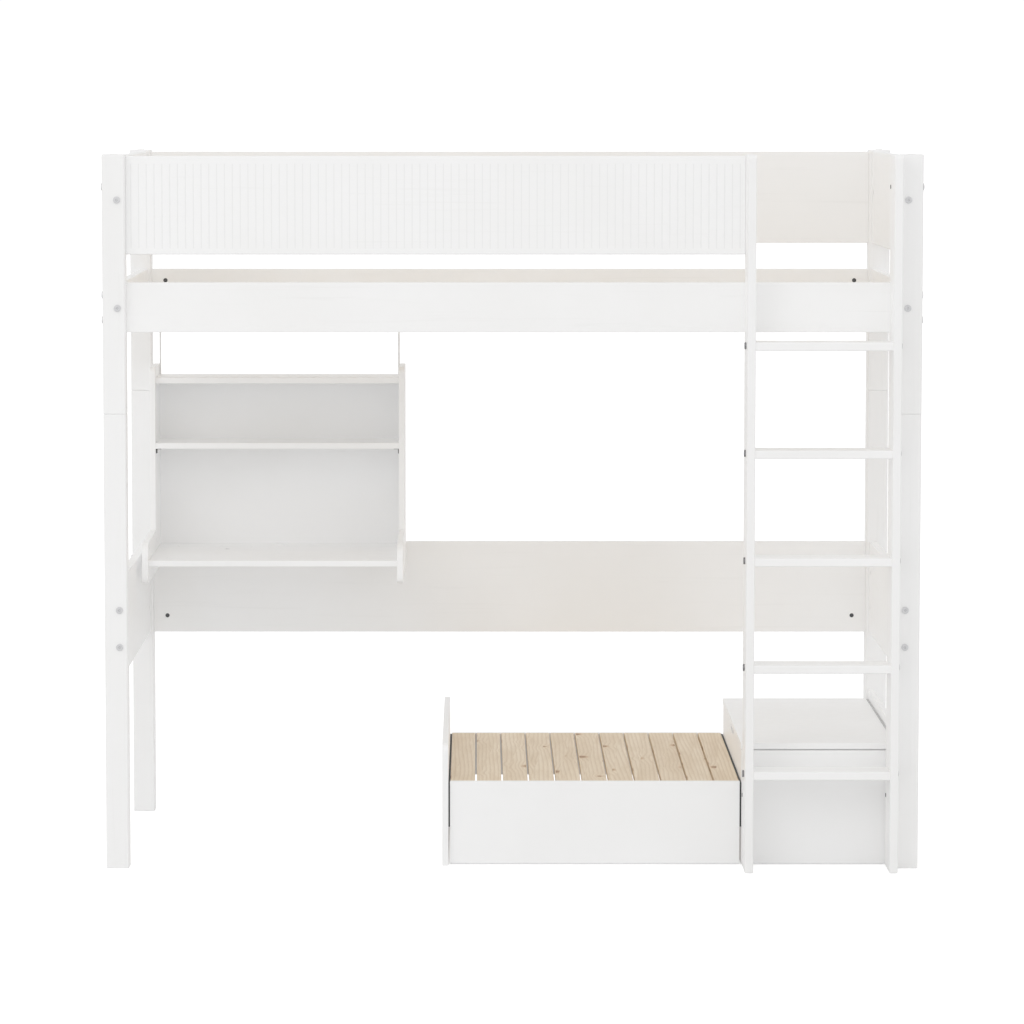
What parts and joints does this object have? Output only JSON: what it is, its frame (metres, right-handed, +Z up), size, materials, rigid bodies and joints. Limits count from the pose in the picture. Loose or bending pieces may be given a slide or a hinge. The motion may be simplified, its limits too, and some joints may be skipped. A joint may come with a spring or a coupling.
{
  "type": "loft bed with desk",
  "caption": "High single bed on square posts with a side ladder, a hanging desk and shelf unit, a slatted day seat and a storage box with a hinged lid.",
  "frame": {"origin": "on the floor, under the middle of the whole object's bounding box", "axes": "+Z up, +X along the bed from the desk end to the ladder end, -Y towards the ladder side"},
  "size_m": [2.119, 1.0924, 1.8532],
  "materials": {
    "white_lacquer": "satin white lacquer on wood and board",
    "pine": "clear lacquered pine",
    "steel": "zinc plated",
    "black_steel": "black",
    "white_rod": "white coated",
    "white_plastic": "satin",
    "packing_strip": "matt",
    "rubber_pad": "matt"
  },
  "bodies": {
    "bed": {"barrel_nuts": "steel", "bed_slats": "pine", "box_back": "white_lacquer", "box_bottom": "white_lacquer", "box_front": "white_lacquer", "box_side_left": "white_lacquer", "box_side_right": "white_lacquer", "desk_back_panel": "white_lacquer", "desk_hangers": "white_rod", "desk_middle_shelf": "white_lacquer", "desk_side_left": "white_lacquer", "desk_side_right": "white_lacquer", "desk_top": "white_lacquer", "desk_top_shelf": "white_lacquer", "end_bed_rail_left": "white_lacquer", "end_bed_rail_right": "white_lacquer", "end_guard_left": "white_lacquer", "end_guard_right": "white_lacquer", "end_rail_bolts": "steel", "front_bed_rail": "white_lacquer", "front_guard": "white_lacquer", "hinge_fixed_leaf": "steel", "hinge_pin": "steel", "ladder_bolts": "steel", "ladder_inserts": "steel", "ladder_stile_left": "white_lacquer", "ladder_stile_right": "white_lacquer", "ladder_tread_1": "white_lacquer", "ladder_tread_2": "white_lacquer", "ladder_tread_3": "white_lacquer", "ladder_tread_4": "white_lacquer", "ladder_tread_5": "white_lacquer", "leg_lower_front_left": "white_lacquer", "leg_lower_front_right": "white_lacquer", "leg_lower_rear_left": "white_lacquer", "leg_lower_rear_right": "white_lacquer", "lid_pads": "rubber_pad", "long_rail_bolts": "steel", "lower_end_panel_left": "white_lacquer", "lower_end_panel_right": "white_lacquer", "lower_rear_panel": "white_lacquer", "mattress_ledgers": "pine", "post_caps": "white_plastic", "post_joint_pins": "steel", "post_upper_front_left": "white_lacquer", "post_upper_front_right": "white_lacquer", "post_upper_rear_left": "white_lacquer", "post_upper_rear_right": "white_lacquer", "rear_bed_rail": "white_lacquer", "rear_guard": "white_lacquer", "seat_arm": "white_lacquer", "seat_front_board": "white_lacquer", "seat_front_rail": "white_lacquer", "seat_rear_board": "white_lacquer", "seat_side_rails": "white_lacquer", "seat_slats": "pine", "seat_spacers": "packing_strip", "shelf_brackets": "black_steel"},
    "lid": {"box_lid": "white_lacquer", "hinge_lid_leaf": "steel"}
  },
  "joints": [
    {"name": "lid_hinge", "type": "hinge", "parent": "bed", "child": "lid", "pos_m": [1.001, 0.03675, 0.318], "axis": [0, 1, 0], "range_deg": [0, 90]}
  ]
}
